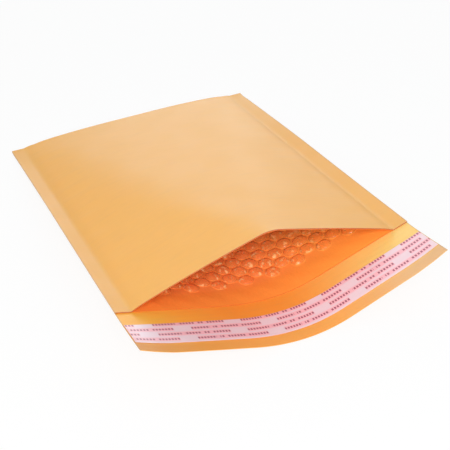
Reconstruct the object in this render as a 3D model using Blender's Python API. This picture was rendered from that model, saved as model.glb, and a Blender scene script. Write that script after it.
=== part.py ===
# Padded envelope lying open on a table: a folded kraft paper cover with a flap, a
# bubble film lining welded into its side seams, and a strip of adhesive on the flap
# under a peel-off release liner. X runs across, Y from the open mouth to the bottom
# fold, Z up from the table.
#
# Every layer is first laid out flat, as it leaves the roll: x is the place across the
# sheet, y the way along it, and z the depth under the envelope's outer face. Along the
# sheet 0 is the bottom fold, negative values run over the back panel and the flap, and
# positive values over the front panel. The flat layers are then folded together.

import bmesh
import bpy
from math import cos, pi, radians, sin, sqrt
from mathutils import Vector

for item in list(bpy.data.objects):
    bpy.data.objects.remove(item, do_unlink=True)

# Paper cover, in metres
WIDTH = 0.200
POUCH_LENGTH = 0.275
FLAP_LENGTH = 0.046
SEAM_WIDTH = 0.010
PAPER_THICKNESS = 0.0003

# Bubble lining
FILM_THICKNESS = 0.0003
BUBBLE_DIAMETER = 0.010
BUBBLE_PITCH = 0.011
BUBBLE_HEIGHT = 0.0030
BUBBLE_TAPER = 0.0022
SEAM_MARGIN = 0.003
CRUSHED_BAND = 0.018
FOLD_BAND = 0.002
LINING_INSET = 0.0005

# Closure on the flap
LINER_OFFSET = 0.015
LINER_WIDTH = 0.0215
LINER_THICKNESS = 0.0002
LINER_INSET = 0.0005
ADHESIVE_WIDTH = 0.015
ADHESIVE_THICKNESS = 0.0002
ADHESIVE_INSET = 0.004

# Gaps between layers, and between the bubbles of the two panels
CLEARANCE = 0.0003
POCKET_GAP = 0.00035

# The shape in which it lies open
CORNER_LIFT = 0.0015
SEAM_RISE = 0.0225
RIDGE_RISE = 0.0200
PEAK_OFFSET = 0.005
BACK_BEND = 0.033
RIDGE_BEND = 0.007
FOLD_END_BEND = 0.020
FRONT_FULLNESS = 3.7
MOUTH_FULLNESS = 1.2
CORNER_START = 0.5
FLAP_RISE = 0.0018
CURL_RISE = 0.0030
CURL_REACH = 0.022
CURL_SHAPE = 1.5

# Facets
PANEL_ROWS = 12
FOLD_ROWS = 3
FLAP_ROWS = 3
NUDGE = 0.0001

seam_line = WIDTH / 2 - SEAM_WIDTH
film_depth = PAPER_THICKNESS + CLEARANCE
bubble_depth = film_depth + FILM_THICKNESS
adhesive_depth = PAPER_THICKNESS + CLEARANCE
liner_depth = adhesive_depth + ADHESIVE_THICKNESS + CLEARANCE
seam_stack = 2 * film_depth + FILM_THICKNESS
fold_stack = 2 * (bubble_depth + BUBBLE_HEIGHT) + POCKET_GAP
fold_arc = pi / 4 * fold_stack
full_length = POUCH_LENGTH + FLAP_LENGTH
narrowing = 1 - sqrt(1 - (SEAM_RISE / (WIDTH / 2)) ** 2)
laid_length = full_length - (pi / 2 - 1) * seam_stack / 2


def eased(x, reach):
    """0 below -reach, x above reach, and a parabola that joins the two."""
    if x <= -reach:
        return 0.0
    if x >= reach:
        return x
    return (x + reach) ** 2 / (4 * reach)


def bent(u, opened, bend):
    """How far a panel has turned up at u: 0 on its flat strip, 1 at the seam line."""
    centre = PEAK_OFFSET * opened
    half = seam_line - centre if u > centre else seam_line + centre
    flat = seam_line * (1 - opened)
    turn = bend + FOLD_END_BEND * (1 - opened)

    def rise(x):
        return eased(x - flat, turn) + eased(-x - flat, turn) - 2 * eased(-flat, turn)

    return rise(abs(u - centre) / half * seam_line) / rise(seam_line)


def heights(u, t):
    """Heights of the back's and the front's outer faces at u, a way t from the fold."""
    opened = max(0.0, t - fold_arc) / (POUCH_LENGTH - fold_arc)
    spread = min(opened, 1.0)
    flap = min(max(0.0, (t - POUCH_LENGTH) / FLAP_LENGTH), 1.0)
    share = min(abs(u) / seam_line, 1.0)
    turned = bent(u, spread, BACK_BEND)
    corner = max(0.0, (share - CORNER_START) / (1 - CORNER_START)) ** 2
    curl = max(0.0, abs(u) - WIDTH / 2 + CURL_REACH) / CURL_REACH
    back = CORNER_LIFT * corner + SEAM_RISE * opened * turned
    back += FLAP_RISE * flap * (1 - turned) + CURL_RISE * (flap * curl) ** CURL_SHAPE
    if abs(u) >= seam_line:
        return back, back + seam_stack
    fullness = FRONT_FULLNESS + (MOUTH_FULLNESS - FRONT_FULLNESS) * spread
    puff = (fold_stack - seam_stack - CORNER_LIFT) * (1 - share ** fullness)
    ridge = RIDGE_RISE * opened * (1 - bent(u, spread, RIDGE_BEND))
    return back, CORNER_LIFT + seam_stack + SEAM_RISE * opened + puff + ridge


def outer_point(u, s):
    """Place of the cover's outer face at u across and s along, from the fold's edge."""
    t = abs(s)
    back_end, front_end = heights(u, 0.0)
    radius = (front_end - back_end) / 2
    side = 1 if s > 0 else -1
    x = u * (1 - narrowing * t / POUCH_LENGTH)
    if t < pi / 2 * radius:
        turn = t / radius
        return Vector((x, radius * (cos(turn) - 1), back_end + radius * (1 + side * sin(turn))))
    back, front = heights(u, t)
    return Vector((x, (pi / 2 - 1) * radius - t, front if side > 0 else back))


def inward(u, s):
    """Unit direction from the outer face towards the inside of the pouch."""
    across_sheet = outer_point(u + NUDGE, s) - outer_point(u - NUDGE, s)
    along_sheet = outer_point(u, s + NUDGE) - outer_point(u, s - NUDGE)
    return across_sheet.cross(along_sheet).normalized()


# Lines that all the layers share, so that their facets stay parallel.
hexagon_side = BUBBLE_PITCH / sqrt(3)
column_step = 1.5 * hexagon_side
columns = int(2 * (seam_line - SEAM_MARGIN) / column_step)
column_lines = [(i - columns / 2) * column_step for i in range(columns + 1)]
across = [-WIDTH / 2, -seam_line] + column_lines + [seam_line, WIDTH / 2]

fold_lines = [fold_arc * k / FOLD_ROWS for k in range(1, FOLD_ROWS)]
panel_step = (POUCH_LENGTH - fold_arc) / PANEL_ROWS
panel_lines = [fold_arc + panel_step * k for k in range(PANEL_ROWS + 1)]
flap_lines = [POUCH_LENGTH + FLAP_LENGTH * k / FLAP_ROWS for k in range(1, FLAP_ROWS + 1)]
reach = [0.0] + fold_lines + panel_lines + flap_lines
front_lines = fold_lines + panel_lines
along = [-t for t in reversed(reach)] + front_lines
corners = {(u, s): (outer_point(u, s), inward(u, s))
           for u in across for t in reach for s in (-t, t)}


def bracket(lines, value):
    """The two lines around a value, and how far it lies from the first to the second."""
    k = min(max(sum(line <= value for line in lines), 1), len(lines) - 1)
    low, high = lines[k - 1], lines[k]
    return low, high, (value - low) / (high - low)


def folded(u, s, depth):
    """Place in the folded envelope of a point of the flat layout, on the shared facets."""
    side = 1 if s > 0 else -1
    left, right, over = bracket(across, u)
    near, far, out = bracket(reach, abs(s))
    shares = [(left, near, 1 - max(over, out)), (right, far, min(over, out))]
    shares.append((right, near, over - out) if over > out else (left, far, out - over))
    place = Vector((0.0, 0.0, 0.0))
    for line, t, share in shares:
        point, normal = corners[line, side * t]
        place += share * (point + depth * normal)
    return place


def welded(u, t):
    """Place at the seam line where the films of the two panels meet, clear of the fold."""
    t = max(t, fold_lines[0])
    return (folded(u, t, seam_stack / 2) + folded(u, -t, seam_stack / 2)) / 2


def lines_between(lines, low, high):
    """The shared lines inside a piece, with the piece's own two edges."""
    return [low] + [line for line in lines if low + NUDGE < line < high - NUDGE] + [high]


def flat_grid(bm, u_lines, s_lines, depth):
    """Adds a flat layer of quads on the given lines. Its vertices go by column and row."""
    wide, long = len(u_lines) - 1, len(s_lines) - 1
    made = bmesh.ops.create_grid(bm, x_segments=wide, y_segments=long, size=0.5)
    grid = {}
    for vert in made["verts"]:
        i = round((vert.co.x + 0.5) * wide)
        k = round((vert.co.y + 0.5) * long)
        vert.co = (u_lines[i], s_lines[k], depth)
        grid[i, k] = vert
    return grid


def brace(faces):
    """Splits quads from near the fold to far from it, so that all layers' facets agree."""
    for face in faces:
        side = 1 if face.calc_center_median().y > 0 else -1
        ends = sorted(face.verts, key=lambda vert: vert.co.x + side * vert.co.y)
        bmesh.utils.face_split(face, ends[0], ends[-1])


def paint(name, colour, roughness):
    """A plain material in a linear colour."""
    material = bpy.data.materials.new(name)
    material.use_nodes = True
    shader = material.node_tree.nodes["Principled BSDF"]
    shader.inputs["Base Color"].default_value = (*colour, 1.0)
    shader.inputs["Roughness"].default_value = roughness
    shader.inputs["Metallic"].default_value = 0.0
    material.diffuse_color = (*colour, 1.0)
    return material


def finish(name, bm, material, carrier):
    """One named object from a closed mesh, carried by the envelope's empty."""
    bmesh.ops.remove_doubles(bm, verts=bm.verts[:], dist=NUDGE / 100)
    bmesh.ops.recalc_face_normals(bm, faces=bm.faces[:])
    mesh = bpy.data.meshes.new(name)
    bm.to_mesh(mesh)
    bm.free()
    mesh.shade_smooth()
    mesh.set_sharp_from_angle(angle=radians(50))
    mesh.materials.append(material)
    piece = bpy.data.objects.new(name, mesh)
    piece.parent = carrier
    bpy.context.collection.objects.link(piece)
    return piece


def strip(u_lines, s_lines, depth, thickness):
    """A closed sheet of even thickness, folded into place."""
    bm = bmesh.new()
    flat_grid(bm, u_lines, s_lines, depth)
    brace(bm.faces[:])
    rim = bmesh.ops.extrude_face_region(bm, geom=bm.faces[:])
    raised = [item for item in rim["geom"] if isinstance(item, bmesh.types.BMVert)]
    bmesh.ops.translate(bm, verts=raised, vec=(0, 0, thickness))
    for vert in bm.verts:
        vert.co = folded(*vert.co)
    return bm


def bubble_room(u, s):
    """Height left for a bubble before it meets its neighbour on the other panel."""
    gap = folded(u, abs(s), 0.0).z - folded(u, -abs(s), 0.0).z
    return gap / 2 - bubble_depth - POCKET_GAP / 2


def pocket_wall(bm, mouth):
    """Adds the lining's face to the pocket: a web of bubbles in staggered rows."""
    last = mouth - CRUSHED_BAND
    half_step = BUBBLE_PITCH / 2
    rows = int((last - fold_arc - FOLD_BAND) / BUBBLE_PITCH)
    first = last - 2 * rows * half_step
    bubble_lines = [first + half_step * k for k in range(2 * rows + 1)]
    front = fold_lines + [fold_arc] + bubble_lines + [mouth]
    s_lines = [-t for t in reversed(front)] + [0.0] + front
    u_lines = [-seam_line] + column_lines + [seam_line]
    grid = flat_grid(bm, u_lines, s_lines, bubble_depth)

    middles = []
    for start in (s_lines.index(-bubble_lines[-1]), s_lines.index(bubble_lines[0])):
        for i in range(columns + 1):
            for k in range(2 * rows + 1):
                shift = hexagon_side / 4 * (1 if (i + k) % 2 == 0 else -1)
                grid[i + 1, start + k].co.x += shift
        for i in range(columns):
            for k in range(1 + i % 2, 2 * rows, 2):
                middles.append(bm.edges.get((grid[i + 1, start + k], grid[i + 2, start + k])))
    bmesh.ops.dissolve_edges(bm, edges=middles, use_verts=False)
    hexagons = [face for face in bm.faces if len(face.verts) == 6]

    foot = (BUBBLE_PITCH - BUBBLE_DIAMETER) / 2
    bmesh.ops.inset_individual(bm, faces=hexagons, thickness=foot + BUBBLE_TAPER)
    closing = []
    for face in hexagons:
        for vert in face.verts:
            vert.co.z = bubble_depth + BUBBLE_HEIGHT
        sides = [loop.edge for loop in face.loops]
        far = max(range(len(sides)), key=lambda n: sum(vert.co.y for vert in sides[n].verts))
        closing += [sides[(far + 2 * n) % len(sides)] for n in range(3)]
    bmesh.ops.collapse(bm, edges=closing)

    for vert in bm.verts:
        u, s, depth = vert.co
        if depth > bubble_depth:
            depth = bubble_depth + max(0.0, min(BUBBLE_HEIGHT, bubble_room(u, s)))
        at_seam = abs(u) > seam_line - NUDGE
        vert.co = welded(u, abs(s)) if at_seam else folded(u, s, depth)
    return grid, len(s_lines) - 1


def lining():
    """Pocket wall and outer film, welded along the sides and closed at the mouth's rim."""
    bm = bmesh.new()
    mouth = POUCH_LENGTH - LINING_INSET
    wall, wall_end = pocket_wall(bm, mouth)
    wall_faces = set(bm.faces)
    s_lines = lines_between(along, -mouth, mouth)
    skin = flat_grid(bm, across, s_lines, film_depth)
    brace([face for face in bm.faces if face not in wall_faces])
    for vert in skin.values():
        vert.co = folded(*vert.co)

    skin_end = len(s_lines) - 1
    side = len(across) - 1
    for i in (0, side):
        for k in range(skin_end // 2):
            ring = [skin[i, k], skin[i, k + 1], skin[i, skin_end - k - 1], skin[i, skin_end - k]]
            bm.faces.new(list(dict.fromkeys(ring)))
    for skin_row, wall_row in ((0, 0), (skin_end, wall_end)):
        for i in range(side - 2):
            bm.faces.new((skin[i + 1, skin_row], skin[i + 2, skin_row],
                          wall[i + 1, wall_row], wall[i, wall_row]))
    for edge, seam, corner in ((0, 1, 0), (side, side - 1, side - 2)):
        bm.faces.new((wall[corner, 0], skin[seam, 0], skin[edge, 0],
                      skin[edge, skin_end], skin[seam, skin_end], wall[corner, wall_end]))
    return bm


kraft = paint("kraft_paper", (0.85, 0.53, 0.23), 0.75)
film = paint("bubble_film", (0.90, 0.30, 0.08), 0.30)
hot_melt = paint("hot_melt", (0.85, 0.75, 0.55), 0.45)
release_paper = paint("release_paper", (0.86, 0.64, 0.62), 0.40)

envelope = bpy.data.objects.new("envelope", None)
envelope.location = (0.0, laid_length / 2, 0.0)
bpy.context.collection.objects.link(envelope)

cover = strip(across, along, 0.0, PAPER_THICKNESS)
finish("paper_cover", cover, kraft, envelope)

finish("bubble_lining", lining(), film, envelope)

liner_near = -POUCH_LENGTH - LINER_OFFSET
liner_far = liner_near - LINER_WIDTH
liner_end = WIDTH / 2 - LINER_INSET
liner = strip(lines_between(across, -liner_end, liner_end),
              lines_between(along, liner_far, liner_near), liner_depth, LINER_THICKNESS)
finish("release_liner", liner, release_paper, envelope)

adhesive_middle = (liner_near + liner_far) / 2
adhesive_end = WIDTH / 2 - ADHESIVE_INSET
adhesive = strip(lines_between(across, -adhesive_end, adhesive_end),
                 lines_between(along, adhesive_middle - ADHESIVE_WIDTH / 2,
                               adhesive_middle + ADHESIVE_WIDTH / 2),
                 adhesive_depth, ADHESIVE_THICKNESS)
finish("adhesive_strip", adhesive, hot_melt, envelope)
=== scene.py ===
import math

import bmesh
import bpy
import numpy as np
from mathutils import Matrix, Vector, kdtree


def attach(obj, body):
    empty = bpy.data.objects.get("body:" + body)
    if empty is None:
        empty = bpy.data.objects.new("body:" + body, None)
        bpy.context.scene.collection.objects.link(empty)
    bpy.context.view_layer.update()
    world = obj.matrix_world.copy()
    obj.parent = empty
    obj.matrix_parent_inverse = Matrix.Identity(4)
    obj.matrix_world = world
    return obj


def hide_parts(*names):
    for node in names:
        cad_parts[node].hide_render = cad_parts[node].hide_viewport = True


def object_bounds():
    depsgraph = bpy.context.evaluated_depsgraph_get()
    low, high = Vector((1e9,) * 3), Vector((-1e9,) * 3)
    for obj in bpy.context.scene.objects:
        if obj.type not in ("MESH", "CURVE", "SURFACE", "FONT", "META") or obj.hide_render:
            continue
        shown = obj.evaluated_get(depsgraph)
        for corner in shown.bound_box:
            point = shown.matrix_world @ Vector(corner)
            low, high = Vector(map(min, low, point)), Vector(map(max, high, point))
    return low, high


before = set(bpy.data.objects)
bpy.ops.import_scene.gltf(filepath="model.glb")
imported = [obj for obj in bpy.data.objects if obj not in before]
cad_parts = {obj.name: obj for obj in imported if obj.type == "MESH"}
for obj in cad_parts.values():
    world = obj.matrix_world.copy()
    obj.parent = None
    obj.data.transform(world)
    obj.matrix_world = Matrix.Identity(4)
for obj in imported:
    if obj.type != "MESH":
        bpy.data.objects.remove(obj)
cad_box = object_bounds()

# Camera
# A long lens a good arm's length in front of the open mouth, a little to its left and
# well above it, held with a slight tilt so that the mouth side sinks to the left.
IMAGE_PX = 450
FOCAL_PX = 1022.4
SENSOR_MM = 36.0
AZIMUTH = math.radians(-20.16)
ELEVATION = math.radians(33.13)
TILT = math.radians(-5.11)
DISTANCE = 0.7103
LOOKS_AT = Vector((0.0094, -0.0205, 0.0))

towards = Vector((math.sin(AZIMUTH) * math.cos(ELEVATION),
                  -math.cos(AZIMUTH) * math.cos(ELEVATION), math.sin(ELEVATION)))
right = Vector((math.cos(AZIMUTH), math.sin(AZIMUTH), 0.0))
level = Matrix((right, towards.cross(right), towards)).transposed()
lens = bpy.data.cameras.new("camera")
lens.sensor_width = SENSOR_MM
lens.lens = FOCAL_PX / IMAGE_PX * SENSOR_MM
camera = bpy.data.objects.new("camera", lens)
camera.matrix_world = (Matrix.Translation(LOOKS_AT + towards * DISTANCE)
                       @ (level @ Matrix.Rotation(TILT, 3, "Z")).to_4x4())
bpy.context.collection.objects.link(camera)
scene = bpy.context.scene
scene.camera = camera
scene.view_settings.view_transform = "Standard"


# Kraft cover
# One sheet of golden kraft paper, folded at the bottom into a back panel and a front
# panel. The back panel runs on past the mouth as the flap. Heat and pressure weld the
# two panels together along both sides, so the seams lie thin and hard.
SHEET_WIDTH = 0.200
POUCH_LENGTH = 0.275
FLAP_LENGTH = 0.046
SEAM_WIDTH = 0.010
PAPER = 0.0003
LINING_DEPTH = 0.0006
FOLD_STACK = 0.00815
SEAM_STACK = 0.0015
PRESSED_STACK = 0.0011
PRESSED_REACH = 0.006

CORNER_LIFT = 0.0015
CORNER_START = 0.5
SEAM_RISE = 0.0225
RIDGE_RISE = 0.0200
PEAK_OFFSET = 0.005
BACK_BEND = 0.033
RIDGE_BEND = 0.007
FOLD_END_BEND = 0.020
FOLD_FULLNESS = 3.7
MOUTH_FULLNESS = 1.2
FLAP_RISE = 0.0018
CURL_RISE = 0.0030
CURL_REACH = 0.022
CURL_SHAPE = 1.5

PUCKER_HEIGHT = 0.00012
PUCKER_LENGTH = 0.017
PUCKER_REACH = 0.022
WAVE_HEIGHT = 0.00008
WAVE_MARGIN = 0.004
WAVE_REACH = 0.020
SLOPE_STEP = 0.0001

seam_line = SHEET_WIDTH / 2 - SEAM_WIDTH
fold_edge = cad_box[1][1]
fold_arc = math.pi / 4 * FOLD_STACK
sheet_end = POUCH_LENGTH + FLAP_LENGTH
narrowing = 1 - math.sqrt(1 - (SEAM_RISE / (SHEET_WIDTH / 2)) ** 2)

# On the flat sheet u runs across from the middle and s along from the fold, with the front
# panel at s above 0, and the back panel and then the flap at s below 0.


def eased(x, reach):
    """0 below -reach, x above reach, and a parabola that joins the two."""
    inside = np.clip(x, -reach, reach)
    return np.where(x >= reach, x, (inside + reach) ** 2 / (4 * reach))


def smooth(x):
    """A soft step from 0 to 1 as x goes from 0 to 1."""
    x = np.clip(x, 0.0, 1.0)
    return x * x * (3 - 2 * x)


def bent(u, opened, bend):
    """How far a panel has turned up at u: 0 on its flat strip, 1 at the seam line."""
    centre = PEAK_OFFSET * opened
    half = np.where(u > centre, seam_line - centre, seam_line + centre)
    flat = seam_line * (1 - opened)
    reach = bend + FOLD_END_BEND * (1 - opened)

    def rise(x):
        return eased(x - flat, reach) + eased(-x - flat, reach) - 2 * eased(-flat, reach)

    return rise(np.abs(u - centre) / half * seam_line) / rise(seam_line)


def waves(u, s):
    """Shallow waves that the paper takes over the bubbles and beside the pressed seams."""
    inner = 1 - smooth((np.abs(u) - seam_line + WAVE_MARGIN) / WAVE_MARGIN)
    beside = np.exp(-((seam_line - np.abs(u)) / PUCKER_REACH) ** 2) * inner
    # The numbers that multiply u and s are in radians a metre: the lower, the longer the wave.
    phase = 2 * np.pi * s / PUCKER_LENGTH + 1.3 * np.sin(41 * s) + 9 * np.sign(u) + 60 * np.abs(u)
    pucker = PUCKER_HEIGHT * beside * np.sin(phase)
    broad = np.sin(73 * u + 31 * s + 1.0) * np.sin(47 * s - 22 * u) + np.sin(118 * u - 64 * s)
    return pucker + WAVE_HEIGHT * 0.5 * inner * broad


def heights(u, t):
    """Heights of the back's and the front's outer faces at u, a way t from the fold."""
    opened = np.maximum(0.0, t - fold_arc) / (POUCH_LENGTH - fold_arc)
    spread = np.minimum(opened, 1.0)
    flap = np.clip((t - POUCH_LENGTH) / FLAP_LENGTH, 0.0, 1.0)
    share = np.minimum(np.abs(u) / seam_line, 1.0)
    turned = bent(u, spread, BACK_BEND)
    corner = np.maximum(0.0, (share - CORNER_START) / (1 - CORNER_START)) ** 2
    curl = np.maximum(0.0, np.abs(u) - SHEET_WIDTH / 2 + CURL_REACH) / CURL_REACH
    back = CORNER_LIFT * corner + SEAM_RISE * opened * turned
    back = back + FLAP_RISE * flap * (1 - turned) + CURL_RISE * (flap * curl) ** CURL_SHAPE
    fullness = FOLD_FULLNESS + (MOUTH_FULLNESS - FOLD_FULLNESS) * spread
    puff = (FOLD_STACK - SEAM_STACK - CORNER_LIFT) * (1 - share ** fullness)
    ridge = RIDGE_RISE * opened * (1 - bent(u, spread, RIDGE_BEND))
    panel = CORNER_LIFT + SEAM_STACK + SEAM_RISE * opened + puff + ridge
    inner = np.abs(u) < seam_line
    front = np.where(inner, panel, back + SEAM_STACK)
    pressed = smooth(1 - (seam_line - np.abs(u)) / PRESSED_REACH)
    return back, front - (SEAM_STACK - PRESSED_STACK) * pressed


def outer_face(u, s):
    """Places of the cover's outer face at u across the sheet and s along it."""
    t = np.abs(s)
    back_end, front_end = heights(u, np.zeros_like(t))
    radius = (front_end - back_end) / 2
    side = np.where(s > 0, 1.0, -1.0)
    x = u * (1 - narrowing * t / POUCH_LENGTH)
    back, front = heights(u, t)
    turn = np.minimum(t / radius, np.pi / 2)
    lies_flat = t > np.pi / 2 * radius
    y = np.where(lies_flat, (np.pi / 2 - 1) * radius - t, radius * (np.cos(turn) - 1))
    arc = back_end + radius * (1 + side * np.sin(turn))
    free = smooth((t - fold_arc) / WAVE_REACH) * smooth((POUCH_LENGTH - WAVE_MARGIN - t) / WAVE_REACH)
    z = np.where(lies_flat, np.where(side > 0, front + free * waves(u, s), back), arc)
    return np.stack((x, y + fold_edge, z), axis=-1)


def folded(laid):
    """Folds flat points (across, along, depth under the outer face) into the envelope."""
    u, s, depth = laid.T
    across = outer_face(u + SLOPE_STEP, s) - outer_face(u - SLOPE_STEP, s)
    along = outer_face(u, s + SLOPE_STEP) - outer_face(u, s - SLOPE_STEP)
    inward = np.cross(across, along)
    inward /= np.linalg.norm(inward, axis=1, keepdims=True)
    return outer_face(u, s) + depth[:, None] * inward


def grid_sheet(width, near, far, cell, depth, thickness):
    """A flat closed sheet of square cells: x across, y along the envelope, z its depth."""
    bm = bmesh.new()
    made = bmesh.ops.create_grid(bm, x_segments=round(width / cell),
                                 y_segments=round((far - near) / cell), size=0.5)
    bmesh.ops.scale(bm, verts=made["verts"], vec=(width, far - near, 1.0))
    bmesh.ops.translate(bm, verts=made["verts"], vec=(0.0, (near + far) / 2, depth))
    thick = bmesh.ops.extrude_face_region(bm, geom=bm.faces[:])
    inner = [item for item in thick["geom"] if isinstance(item, bmesh.types.BMVert)]
    bmesh.ops.translate(bm, verts=inner, vec=(0.0, 0.0, thickness))
    return bm


def piece_from_flat(name, bm, material, crease=40):
    """Folds a flat layer into place. Its UV map keeps where each point lay on the sheet."""
    mesh = bpy.data.meshes.new(name)
    bm.to_mesh(mesh)
    bm.free()
    flat = np.empty(len(mesh.vertices) * 3, dtype=np.float32)
    mesh.vertices.foreach_get("co", flat)
    flat = flat.reshape(-1, 3).astype(np.float64)
    corner_of = np.empty(len(mesh.loops), dtype=np.int32)
    mesh.loops.foreach_get("vertex_index", corner_of)
    uv = mesh.uv_layers.new(name="sheet")
    uv.data.foreach_set("uv", flat[corner_of, :2].astype(np.float32).ravel())
    depth = mesh.attributes.new("depth", "FLOAT", "POINT")
    depth.data.foreach_set("value", flat[:, 2].astype(np.float32))
    mesh.vertices.foreach_set("co", folded(flat).astype(np.float32).ravel())
    mesh.update()
    solid = bmesh.new()
    solid.from_mesh(mesh)
    bmesh.ops.recalc_face_normals(solid, faces=solid.faces[:])
    solid.to_mesh(mesh)
    solid.free()
    mesh.shade_smooth()
    mesh.set_sharp_from_angle(angle=math.radians(crease))
    mesh.materials.append(material)
    piece = bpy.data.objects.new(name, mesh)
    bpy.context.collection.objects.link(piece)
    return piece


class Shading:
    """A node tree, with the one way in which nodes are added to it."""

    def __init__(self, tree):
        self.tree = tree

    def add(self, kind, settings, sockets):
        """Adds a node: its settings first, then a value or a link for each socket."""
        node = self.tree.nodes.new(kind)
        for name, setting in settings.items():
            setattr(node, name, setting)
        self.fill(node, sockets)
        return node

    def fill(self, node, sockets):
        """Gives sockets of a node, by name or number, their values or links."""
        for name, given in sockets.items():
            if isinstance(given, Value):
                given = given.socket
            if isinstance(given, bpy.types.NodeSocket):
                self.tree.links.new(given, node.inputs[name])
            else:
                node.inputs[name].default_value = given


class Value:
    """A number that changes over a surface: a socket that takes part in sums."""

    def __init__(self, shading, socket):
        self.shading = shading
        self.socket = socket

    def maths(self, operation, *values):
        node = self.shading.add("ShaderNodeMath", {"operation": operation}, dict(enumerate(values)))
        return Value(self.shading, node.outputs[0])

    def __add__(self, other):
        return self.maths("ADD", self, other)

    def __radd__(self, other):
        return self.maths("ADD", other, self)

    def __sub__(self, other):
        return self.maths("SUBTRACT", self, other)

    def __rsub__(self, other):
        return self.maths("SUBTRACT", other, self)

    def __mul__(self, other):
        return self.maths("MULTIPLY", self, other)

    def __rmul__(self, other):
        return self.maths("MULTIPLY", other, self)

    def __truediv__(self, other):
        return self.maths("DIVIDE", self, other)

    def size(self):
        return self.maths("ABSOLUTE", self)

    def part(self):
        return self.maths("FRACT", self)

    def most(self, other):
        return self.maths("MAXIMUM", self, other)

    def step(self, low, high):
        """A soft step from 0 where the value is low to 1 where it is high."""
        node = self.shading.add("ShaderNodeMapRange", {"interpolation_type": "SMOOTHSTEP"},
                                {"Value": self, "From Min": low, "From Max": high})
        return Value(self.shading, node.outputs["Result"])

    def close_to(self, end, far, near):
        """0 at more than far before the end, and 1 at less than near before it."""
        return self.step(end - far, end - near)


class Finish(Shading):
    """A Principled material for a paper, a film, a glue or the table."""

    def __init__(self, name, constants):
        self.material = bpy.data.materials.new(name)
        self.material.use_nodes = True
        super().__init__(self.material.node_tree)
        self.shader = self.tree.nodes["Principled BSDF"]
        self.fill(self.shader, constants)

    def place(self):
        """Across and along the flat sheet, in metres, and the same as one vector."""
        uv = self.add("ShaderNodeUVMap", {"uv_map": "sheet"}, {}).outputs["UV"]
        split = self.add("ShaderNodeSeparateXYZ", {}, {"Vector": uv})
        return Value(self, split.outputs["X"]), Value(self, split.outputs["Y"]), uv

    def depth(self):
        """The depth under the cover's outer face, in metres."""
        node = self.add("ShaderNodeAttribute", {"attribute_name": "depth"}, {})
        return Value(self, node.outputs["Fac"])

    def noise(self, vector, scale, stretch=(1, 1, 1), detail=2.0, roughness=0.5):
        """Noise from 0 to 1 around a half, finer where the scale is higher."""
        placed = self.add("ShaderNodeMapping", {}, {"Vector": vector, "Scale": stretch})
        cloud = self.add("ShaderNodeTexNoise", {}, {
            "Vector": placed.outputs["Vector"], "Scale": scale, "Detail": detail,
            "Roughness": roughness})
        return Value(self, cloud.outputs["Fac"])

    def blend(self, share, first, second):
        """A colour between two, each a linear colour or the output of another blend."""
        mix = self.add("ShaderNodeMix", {"data_type": "RGBA"}, {0: share, 6: first, 7: second})
        return mix.outputs[2]

    def relief(self, height, depth):
        """Bumps of the given depth in metres where the height goes from 0 to 1."""
        bump = self.add("ShaderNodeBump", {}, {"Height": height, "Distance": depth})
        self.fill(self.shader, {"Normal": bump.outputs["Normal"]})


def linear(red, green, blue):
    """A linear colour from one on the screen's 0 to 255 scale."""
    shares = [part / 255 for part in (red, green, blue)]
    return (*(c / 12.92 if c <= 0.04045 else ((c + 0.055) / 1.055) ** 2.4 for c in shares), 1.0)


PAD_COLOUR = linear(247, 178, 88)
# Painted shade: the outer face turns darker towards the welded side seams.
SEAM_SHADE_AND_CLOUD_COLOUR = linear(236, 172, 84)
LINED_COLOUR = linear(253, 160, 70)
# Painted light on the flap's inner face: orange light reflected from the lining in the middle, and a
# pale sheen towards the right.
INSIDE_BOUNCE_COLOUR = linear(255, 155, 56)
LEFT_INSIDE_COLOUR = linear(250, 180, 66)
RIGHT_INSIDE_SHEEN_COLOUR = linear(250, 204, 116)
# Painted shade at the left end of the flap's free edge strip, and a painted sheen at its right end.
EDGE_LEFT_SHADE_COLOUR = linear(214, 144, 56)
EDGE_MIDDLE_COLOUR = linear(246, 170, 84)
EDGE_RIGHT_SHEEN_COLOUR = linear(218, 176, 130)
FIBRE_COLOUR = linear(222, 160, 94)
CUT_COLOUR = linear(180, 148, 112)
# Painted shadow: a dark line along the front panel's mouth edge.
MOUTH_SHADOW_COLOUR = linear(168, 86, 38)
SEAM_SHADE_SHARE = 0.85
CLOUD_SHARE = 0.12
EDGE_SHARE = 0.85
STREAK_SHARE = 0.13
FIBRE_SHARE = 0.12
CUT_SHARE = 0.5
PAD_FADE = 0.010
SEAM_FADE = 0.002
# Where the inside's colours, with their painted light and shade, start and stop changing, across from
# the middle.
LEFT_FADE = (-0.090, -0.020)
RIGHT_SHEEN_FADE = (0.000, 0.085)
EDGE_SHEEN_FADE = (0.020, 0.095)
# How far before an edge or the mouth a colour starts and is full.
EDGE_STRIP = (0.014, 0.006)
LINED_FADE = (0.002, 0.0)
MOUTH_SHADOW_LINE = (0.0004, 0.0001)
SIDE_CUT = (0.0009, 0.0002)
PAPER_ROUGHNESS = 0.55
ROUGHNESS_CHANGE = 0.03
GRAIN_HEIGHT = 0.35
STREAK_HEIGHT = 0.5
CLOUD_HEIGHT = 0.4
FIBRE_RELIEF = 0.00004
COVER_CELL = 0.002

kraft = Finish("kraft_paper", {
    "Specular IOR Level": 0.6, "Subsurface Weight": 0.3,
    "Subsurface Radius": (1.0, 0.6, 0.3), "Subsurface Scale": 0.0010})
u, s, flat = kraft.place()
from_fold = s.size()
inside = kraft.depth().step(0.0, PAPER)
seam_shade = u.size().step(seam_line - PAD_FADE, seam_line + SEAM_FADE)
clouds = kraft.noise(flat, scale=38, detail=3).step(low=0.35, high=0.65)
streaks = kraft.noise(flat, scale=420, stretch=(0.12, 1, 1), detail=3, roughness=0.6)
streaks = streaks.step(low=0.42, high=0.74)
fibres = kraft.noise(flat, scale=900, stretch=(0.35, 1, 1), roughness=0.7)
fibres = fibres.step(low=0.55, high=0.8)
grain = kraft.noise(flat, scale=1500, stretch=(0.4, 1, 1))

# Painted shade darkens the outer face towards the side seams; the random clouds also blend a little
# towards the same colour.
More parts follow.
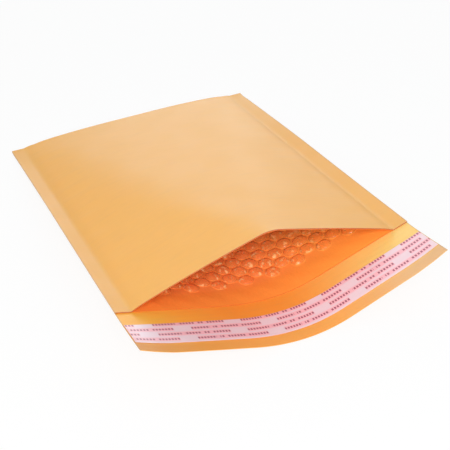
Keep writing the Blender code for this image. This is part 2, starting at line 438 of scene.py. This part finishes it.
outer = kraft.blend(seam_shade * SEAM_SHADE_SHARE + clouds * CLOUD_SHARE, PAD_COLOUR, SEAM_SHADE_AND_CLOUD_COLOUR)
# Painted light: the flap's inner face is redder in the middle, as if lit by orange light from the
# lining, and paler to the right as a painted sheen.
inner = kraft.blend(u.step(*LEFT_FADE), LEFT_INSIDE_COLOUR, INSIDE_BOUNCE_COLOUR)
inner = kraft.blend(u.step(*RIGHT_SHEEN_FADE), inner, RIGHT_INSIDE_SHEEN_COLOUR)
# Painted shade at the left end of the free edge strip and a painted sheen at its right end.
edge_strip = kraft.blend(u.step(*LEFT_FADE), EDGE_LEFT_SHADE_COLOUR, EDGE_MIDDLE_COLOUR)
edge_strip = kraft.blend(u.step(*EDGE_SHEEN_FADE), edge_strip, EDGE_RIGHT_SHEEN_COLOUR)
at_edge = from_fold.close_to(sheet_end, *EDGE_STRIP)
inner = kraft.blend(at_edge * EDGE_SHARE, inner, edge_strip)
inner = kraft.blend(from_fold.close_to(POUCH_LENGTH, *LINED_FADE), LINED_COLOUR, inner)
colour = kraft.blend(inside, outer, inner)
colour = kraft.blend(streaks * STREAK_SHARE + fibres * FIBRE_SHARE, colour, FIBRE_COLOUR)
# Painted shadow: a dark line along the front panel's edge at the mouth.
colour = kraft.blend(s.close_to(POUCH_LENGTH, *MOUTH_SHADOW_LINE), colour, MOUTH_SHADOW_COLOUR)
cut_sides = u.size().close_to(SHEET_WIDTH / 2, *SIDE_CUT)
kraft.fill(kraft.shader, {"Base Color": kraft.blend(cut_sides * CUT_SHARE, colour, CUT_COLOUR),
                          "Roughness": (PAPER_ROUGHNESS + ROUGHNESS_CHANGE * clouds
                                        - ROUGHNESS_CHANGE * streaks)})
kraft.relief(grain * GRAIN_HEIGHT + streaks * STREAK_HEIGHT + clouds * CLOUD_HEIGHT, FIBRE_RELIEF)

cover = piece_from_flat("kraft_cover", grid_sheet(
    SHEET_WIDTH, -sheet_end, POUCH_LENGTH, COVER_CELL, 0.0, PAPER), kraft.material)
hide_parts("paper_cover")
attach(cover, "root")


# Bubble lining
# Clear bubble film of polythene, laid on the paper before the sheet was folded and
# welded with it in the side seams, so that the kraft glows through it. The bubbles stand
# towards the pocket in staggered rows, and the heat bar has crushed them at the mouth.
FILM = 0.0003
BUBBLE_PITCH = 0.011
BUBBLE_RADIUS = 0.005
BUBBLE_HEIGHT = 0.0030
CRUSHED_BAND = 0.018
CRUSHED_ROWS = 7
FOLD_ROWS = 4
SEAM_MARGIN = 0.003
FOLD_BAND = 0.002
FILM_INSET = 0.0005
POCKET_GAP = 0.0003
WELDED_OUTSIDE = 0.00034
WELDED_INSIDE = 0.00053
# Shares of a bubble's radius and height, from its foot up.
DOME = ((1.00, 0.00), (0.93, 0.40), (0.74, 0.78), (0.42, 0.96))
# The least and the most that a bubble has sunk, and how far its skin dents, as shares.
SLACK = (0.15, 0.42)
CRUMPLE = 0.22
SLACK_SEED = 5
FIRST_INSET = 0.0001
# The most corners that a cell without a bubble has.
PLAIN_CORNERS = 8
ROUNDING = 0.01
CREASE_HEIGHT = 0.0005
CREASES_ACROSS = 310
CREASES_ALONG = 260

film_top = LINING_DEPTH + FILM
hexagon_side = BUBBLE_PITCH / math.sqrt(3)
inside_cell = 0.48 * BUBBLE_PITCH
on_centre = 0.1 * BUBBLE_PITCH
long_side = 0.9 * hexagon_side
column_step = 1.5 * hexagon_side
columns = int(2 * (seam_line - SEAM_MARGIN) / column_step)
mouth = POUCH_LENGTH - FILM_INSET
last_bubbles = mouth - CRUSHED_BAND
bubble_rows = int((last_bubbles - fold_arc - FOLD_BAND) / BUBBLE_PITCH)
first_bubbles = last_bubbles - bubble_rows * BUBBLE_PITCH

half_columns = [(i - columns) * column_step / 2 for i in range(2 * columns + 1)]
film_edge = SHEET_WIDTH / 2 - FILM_INSET
across_lines = [-film_edge, -seam_line] + half_columns + [seam_line, film_edge]
panel_lines = [fold_arc * k / FOLD_ROWS for k in range(1, FOLD_ROWS + 1)]
half_rows = [first_bubbles + BUBBLE_PITCH / 2 * k for k in range(2 * bubble_rows + 1)]
crushed_rows = [last_bubbles + CRUSHED_BAND * k / CRUSHED_ROWS for k in range(1, CRUSHED_ROWS + 1)]
panel_lines += half_rows + crushed_rows
along_lines = [-t for t in reversed(panel_lines)] + [0.0] + panel_lines


def bubble_centres():
    """Places across and along the sheet of the bubbles of both panels."""
    centres = []
    for side in (-1, 1):
        for i in range(columns):
            for k in range(1 + i % 2, 2 * bubble_rows, 2):
                centres.append((half_columns[2 * i + 1], side * half_rows[k]))
    return centres


def bubble_web(centres):
    """A flat film cut into one hexagonal cell for each bubble, with plain cells around."""
    bm = bmesh.new()
    wide, long = len(across_lines) - 1, len(along_lines) - 1
    made = bmesh.ops.create_grid(bm, x_segments=wide, y_segments=long, size=0.5)
    first_half = across_lines.index(half_columns[0])
    for vert in made["verts"]:
        i = round((vert.co.x + 0.5) * wide)
        k = round((vert.co.y + 0.5) * long)
        u, s = across_lines[i], along_lines[k]
        row = (abs(s) - first_bubbles) / (BUBBLE_PITCH / 2)
        column, between = divmod(i - first_half, 2)
        in_rows = -ROUNDING < row < 2 * bubble_rows + ROUNDING
        if not between and 0 <= column <= columns and in_rows:
            u += hexagon_side / 4 * (1 if (column + round(row)) % 2 == 0 else -1)
        vert.co = (u, s, LINING_DEPTH)

    tree = kdtree.KDTree(len(centres))
    for n, (u, s) in enumerate(centres):
        tree.insert((u, s, LINING_DEPTH), n)
    tree.balance()
    inner = [edge for edge in bm.edges
             if tree.find((edge.verts[0].co + edge.verts[1].co) / 2)[2] < inside_cell]
    bmesh.ops.dissolve_edges(bm, edges=inner, use_verts=True)
    long_edges = [edge for edge in bm.edges if edge.calc_length() > long_side
                  and abs(edge.verts[0].co.x) < seam_line and abs(edge.verts[1].co.x) < seam_line]
    bmesh.ops.bisect_edges(bm, edges=long_edges, cuts=1)
    return bm, tree


centres = bubble_centres()
film, bubble_tree = bubble_web(centres)
thick = bmesh.ops.extrude_face_region(film, geom=film.faces[:])
pocket_side = {item for item in thick["geom"] if isinstance(item, bmesh.types.BMFace)}
for item in thick["geom"]:
    if isinstance(item, bmesh.types.BMVert):
        item.co.z = film_top
cells = [face for face in film.faces if len(face.verts) > PLAIN_CORNERS and
         bubble_tree.find(face.calc_center_median())[2] < on_centre]
domes = [face for face in cells if face in pocket_side]
bmesh.ops.poke(film, faces=[face for face in cells if face not in pocket_side])

draw = np.random.RandomState(SLACK_SEED)
fullness = [1 - draw.uniform(*SLACK) for n in range(len(centres))]
middle_of = [bubble_tree.find(face.calc_center_median()) for face in domes]
for share, height in DOME:
    bmesh.ops.inset_individual(film, faces=domes, thickness=FIRST_INSET)
    for face, (middle, n, far) in zip(domes, middle_of):
        for vert in face.verts:
            spoke = (vert.co.xy - middle.xy).normalized() * BUBBLE_RADIUS * share
            crumpled = fullness[n] * (1 - CRUMPLE * draw.rand())
            vert.co = (middle.x + spoke.x, middle.y + spoke.y,
                       film_top + BUBBLE_HEIGHT * height * crumpled)
bmesh.ops.poke(film, faces=domes)

u, s, depth = np.array([vert.co for vert in film.verts]).T
on_pocket_side = depth > LINING_DEPTH + FILM / 2
back, front = heights(u, np.abs(s))
room = np.maximum(0.0, (front - back) / 2 - film_top - POCKET_GAP)
depth = np.where(depth > film_top, film_top + np.minimum(depth - film_top, room), depth)
pressed = smooth(1 - (seam_line - np.abs(u)) / PRESSED_REACH)
depth += (np.where(on_pocket_side, WELDED_INSIDE, WELDED_OUTSIDE) - depth) * pressed
in_band = np.sin(np.pi * np.clip((np.abs(s) - last_bubbles) / CRUSHED_BAND, 0.0, 1.0))
creases = 0.5 + 0.5 * np.sin(CREASES_ACROSS * u + CREASES_ALONG * s)
depth += CREASE_HEIGHT * creases * in_band * (1 - pressed) * on_pocket_side
for vert, height in zip(film.verts, depth):
    vert.co.z = height

FILM_COLOUR = linear(255, 158, 86)
# Painted light: the film turns yellower towards the right.
RIGHT_SIDE_LIGHT_COLOUR = linear(255, 176, 76)
DEEP_COLOUR = linear(252, 118, 54)
# Painted shade: the flat film between the bubbles is a darker red.
VALLEY_SHADE_COLOUR = linear(255, 146, 72)
# Painted highlight colour of the glints on the bubbles.
GLINT_COLOUR = linear(255, 210, 146)
BAND_COLOUR = linear(255, 154, 64)
# Painted shade: the lining's cut edge at the mouth is darkened to a thin dark line.
RIM_SHADE_COLOUR = linear(224, 118, 48)
BLOTCH_SHARE = 0.3
VALLEY_SHADE_SHARE = 0.8
GLINT_SHARE = 0.9
BAND_SHARE = 0.8
RIGHT_SIDE_LIGHT_SHARE = 0.7
BUBBLE_CLEARNESS = 0.72
GLINT_CLOUDING = 0.6
# How far above the flat film a bubble starts to be clear, and where it is clearest.
DOME_FOOT = (0.00002, 0.0003)
VALLEY_SHADE_FADE = 0.0001
BAND_LINE = 0.0005
# The band's colour starts 4 mm before the end of the bubbles and is full 6 mm past it.
BAND_FADE = (0.004, -0.006)
RIGHT_SIDE_LIGHT_FADE = (-0.010, 0.080)
RIM_SHADE_BAND = (0.0003, 0.0001)
FILM_ROUGHNESS = 0.24
WRINKLE_ROUGHNESS = 0.2
BUBBLE_GLOSS = 0.14
WRINKLE_RELIEF = 0.0002

polythene = Finish("bubble_film", {
    "Subsurface Weight": 0.1, "Subsurface Radius": (1.0, 0.6, 0.4),
    "Subsurface Scale": 0.0012})
u, s, flat = polythene.place()
depth = polythene.depth()
from_fold = s.size()
past_bubbles = from_fold.step(last_bubbles - BAND_LINE, last_bubbles + BAND_LINE)
bubble = depth.step(film_top + DOME_FOOT[0], film_top + DOME_FOOT[1]) * (1 - past_bubbles)
# Painted shade: a darker red on the flat film between the bubbles.
valley_shade = depth.step(LINING_DEPTH + VALLEY_SHADE_FADE, film_top - VALLEY_SHADE_FADE) * (1 - bubble)
band = from_fold.close_to(last_bubbles, *BAND_FADE)
# Painted shade along the lining's cut edge at the mouth.
rim_shade = from_fold.close_to(mouth, *RIM_SHADE_BAND)
blotches = polythene.noise(flat, scale=60).step(low=0.3, high=0.7)
wrinkles = polythene.noise(flat, scale=420, stretch=(1, 0.6, 1), detail=3, roughness=0.6)
# Painted highlights: light flecks on the bubbles stand in for glints off the crumpled film, which is
# also less clear there.
flecks = polythene.noise(flat, scale=340, stretch=(1, 0.7, 1), detail=1)
glints = flecks.step(low=0.52, high=0.68) * bubble
colour = polythene.blend(blotches * BLOTCH_SHARE, FILM_COLOUR, DEEP_COLOUR)
colour = polythene.blend(valley_shade * VALLEY_SHADE_SHARE, colour, VALLEY_SHADE_COLOUR)
colour = polythene.blend(glints * GLINT_SHARE, colour, GLINT_COLOUR)
colour = polythene.blend(band * BAND_SHARE, colour, BAND_COLOUR)
# Painted light: the film is yellower towards the right, as if lit more from that side.
colour = polythene.blend(u.step(*RIGHT_SIDE_LIGHT_FADE) * RIGHT_SIDE_LIGHT_SHARE, colour, RIGHT_SIDE_LIGHT_COLOUR)
clearness = BUBBLE_CLEARNESS * bubble * (1 - glints * GLINT_CLOUDING)
polythene.fill(polythene.shader, {"Base Color": polythene.blend(rim_shade, colour, RIM_SHADE_COLOUR),
                                  "Roughness": (FILM_ROUGHNESS + WRINKLE_ROUGHNESS * wrinkles
                                                - BUBBLE_GLOSS * bubble),
                                  "Alpha": 1 - clearness})
polythene.relief(wrinkles, WRINKLE_RELIEF)

lining = piece_from_flat("bubble_film", film, polythene.material, crease=75)
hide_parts("bubble_lining")
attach(lining, "root")


# Adhesive strip
# A band of tacky cream-coloured hot melt, rolled onto the inner face of the flap along
# almost its whole width. The release liner covers it until the envelope is sealed.
ADHESIVE_MIDDLE = 0.02575
ADHESIVE_WIDTH = 0.015
ADHESIVE_LENGTH = 0.192
ADHESIVE_DEPTH = 0.00034
ADHESIVE = 0.00014
STRIP_CELL = 0.002

HOT_MELT_COLOUR = linear(232, 208, 160)
THICK_MELT_COLOUR = linear(214, 180, 120)
THICK_MELT_SHARE = 0.3
MELT_ROUGHNESS = 0.22
RUN_ROUGHNESS = 0.2
MELT_RELIEF = 0.0001

hot_melt = Finish("hot_melt", {})
u, s, flat = hot_melt.place()
runs = hot_melt.noise(flat, scale=300, stretch=(0.1, 1, 1))
hot_melt.fill(hot_melt.shader, {
    "Base Color": hot_melt.blend(runs * THICK_MELT_SHARE, HOT_MELT_COLOUR, THICK_MELT_COLOUR),
    "Roughness": MELT_ROUGHNESS + RUN_ROUGHNESS * runs})
hot_melt.relief(runs, MELT_RELIEF)

middle = -POUCH_LENGTH - ADHESIVE_MIDDLE
adhesive = piece_from_flat("hot_melt_strip", grid_sheet(
    ADHESIVE_LENGTH, middle - ADHESIVE_WIDTH / 2, middle + ADHESIVE_WIDTH / 2,
    STRIP_CELL, ADHESIVE_DEPTH, ADHESIVE), hot_melt.material)
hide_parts("adhesive_strip")
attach(adhesive, "root")


# Release liner
# A pale silicone paper tape that covers the adhesive from edge to edge of the flap. It
# is printed in one ink with four rows of short dashes, grouped into words and phrases,
# and the first row runs along its edge.
LINER_OFFSET = 0.015
LINER_WIDTH = 0.0215
LINER_LENGTH = 0.199
LINER_DEPTH = 0.00052
LINER = 0.00014
ROW_START = 0.0011
ROW_STEP = 0.0055
DASH_HEIGHT = 0.0018
DASH_STEP = 0.0019
DASH_SHARE = 0.58
DASH_SOFTNESS = 0.05
PHRASE_STEP = 0.0562
PHRASE_LENGTH = 0.0450
WORD_GAP = 0.0022
SOFT_EDGE = 0.0001
HALO = 0.0022
# A row's place across the sheet, and where each word but the last ends in its phrase.
ODD_ROW = (-0.0829, (0.0140, 0.0262, 0.0318))
EVEN_ROW = (-0.0606, (0.0116, 0.0168, 0.0298))
ROWS = (ODD_ROW, EVEN_ROW, ODD_ROW, EVEN_ROW)

PINK_COLOUR = linear(248, 182, 190)
PALE_COLOUR = linear(240, 212, 219)
PRINT_COLOUR = linear(142, 52, 80)
HALO_SHARE = 0.9
PRINT_SHARE = 0.85
LINER_ROUGHNESS = 0.32
RIPPLE_ROUGHNESS = 0.16
LINER_RELIEF = 0.0002

liner_paper = Finish("release_paper", {})
u, s, flat = liner_paper.place()
from_edge = -1 * s - (POUCH_LENGTH + LINER_OFFSET)
printed = 0
tinted = 0
for row, (shift, word_ends) in enumerate(ROWS):
    off_row = (from_edge - (ROW_START + ROW_STEP * row)).size()
    on_row = 1 - off_row.step(DASH_HEIGHT / 2 - SOFT_EDGE, DASH_HEIGHT / 2 + SOFT_EDGE)
    near_row = 1 - off_row.step(DASH_HEIGHT / 2, DASH_HEIGHT / 2 + HALO)
    along_row = ((u - shift + PHRASE_STEP) / PHRASE_STEP).part() * PHRASE_STEP
    in_phrase = 1 - along_row.step(PHRASE_LENGTH - SOFT_EDGE, PHRASE_LENGTH + SOFT_EDGE)
    words = in_phrase
    for end in word_ends:
        off_gap = (along_row - (end + WORD_GAP / 2)).size()
        words = words * off_gap.step(WORD_GAP / 2 - SOFT_EDGE, WORD_GAP / 2 + SOFT_EDGE)
    along_dash = (along_row / DASH_STEP).part()
    dash = 1 - along_dash.step(DASH_SHARE - DASH_SOFTNESS, DASH_SHARE + DASH_SOFTNESS)
    printed = printed + on_row * words * dash
    tinted = tinted + near_row * in_phrase
ripple = liner_paper.noise(flat, scale=90, stretch=(1, 2, 1))
colour = liner_paper.blend(tinted.step(0.0, 1.0) * HALO_SHARE, PALE_COLOUR, PINK_COLOUR)
liner_paper.fill(liner_paper.shader, {
    "Base Color": liner_paper.blend(printed * PRINT_SHARE, colour, PRINT_COLOUR),
    "Roughness": LINER_ROUGHNESS + RIPPLE_ROUGHNESS * ripple})
liner_paper.relief(ripple, LINER_RELIEF)

liner = piece_from_flat("liner_tape", grid_sheet(
    LINER_LENGTH, -POUCH_LENGTH - LINER_OFFSET - LINER_WIDTH, -POUCH_LENGTH - LINER_OFFSET,
    STRIP_CELL, LINER_DEPTH, LINER), liner_paper.material)
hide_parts("release_liner")
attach(liner, "root")


# Table and studio light
# A plain white table under a white sky, with one large soft lamp behind the envelope to
# the right, which lays a sheen over the far side, and a stronger one in front.
FLOOR_SIZE = 6.0
FLOOR_DROP = 0.0002
FLOOR_COLOUR = (0.9, 0.9, 0.9, 1.0)
FLOOR_GLOW = 0.88
SKY_LIGHT = 0.50
WHITE = (1.0, 1.0, 1.0, 1.0)


def shown(shading):
    """1 where a ray comes from the camera, a reflection or glass, and 0 for other light."""
    rays = shading.add("ShaderNodeLightPath", {}, {}).outputs
    direct, mirrored, through = (Value(shading, rays[name]) for name in (
        "Is Camera Ray", "Is Glossy Ray", "Is Transmission Ray"))
    return direct.most(mirrored).most(through)


floor_bm = bmesh.new()
bmesh.ops.create_grid(floor_bm, x_segments=1, y_segments=1, size=FLOOR_SIZE / 2)
bmesh.ops.translate(floor_bm, verts=floor_bm.verts[:], vec=(0, 0, -FLOOR_DROP))
floor_mesh = bpy.data.meshes.new("floor")
floor_bm.to_mesh(floor_mesh)
floor_bm.free()
floor = bpy.data.objects.new("floor", floor_mesh)
bpy.context.collection.objects.link(floor)
table = Finish("table", {"Base Color": FLOOR_COLOUR, "Roughness": 0.9, "Specular IOR Level": 0.0})
glow = table.add("ShaderNodeEmission", {}, {"Color": WHITE})
mixed = table.add("ShaderNodeMixShader", {}, {
    0: shown(table) * FLOOR_GLOW, 1: table.shader.outputs[0], 2: glow.outputs[0]})
table.fill(table.tree.nodes["Material Output"], {"Surface": mixed.outputs[0]})
floor_mesh.materials.append(table.material)

world = bpy.data.worlds.new("studio")
world.use_nodes = True
studio = Shading(world.node_tree)
studio.fill(studio.tree.nodes["Background"], {
    "Color": WHITE, "Strength": SKY_LIGHT + (1 - SKY_LIGHT) * shown(studio)})
scene.world = world


def lamp(name, place, aim, size, power, colour):
    """A square soft lamp at a place, turned to another."""
    data = bpy.data.lights.new(name, "AREA")
    data.size = size
    data.energy = power
    data.color = colour
    item = bpy.data.objects.new(name, data)
    item.location = place
    item.rotation_euler = (Vector(aim) - Vector(place)).to_track_quat("-Z", "Y").to_euler()
    bpy.context.collection.objects.link(item)


lamp("back_lamp", place=(0.66, 1.52, 0.46), aim=(0.05, 0.08, 0.0), size=1.0, power=9.0,
     colour=(0.80, 0.93, 1.0))
lamp("front_lamp", place=(-0.45, -1.30, 0.85), aim=(0.0, -0.05, 0.0), size=0.8, power=22.5,
     colour=(1.0, 1.0, 1.0))
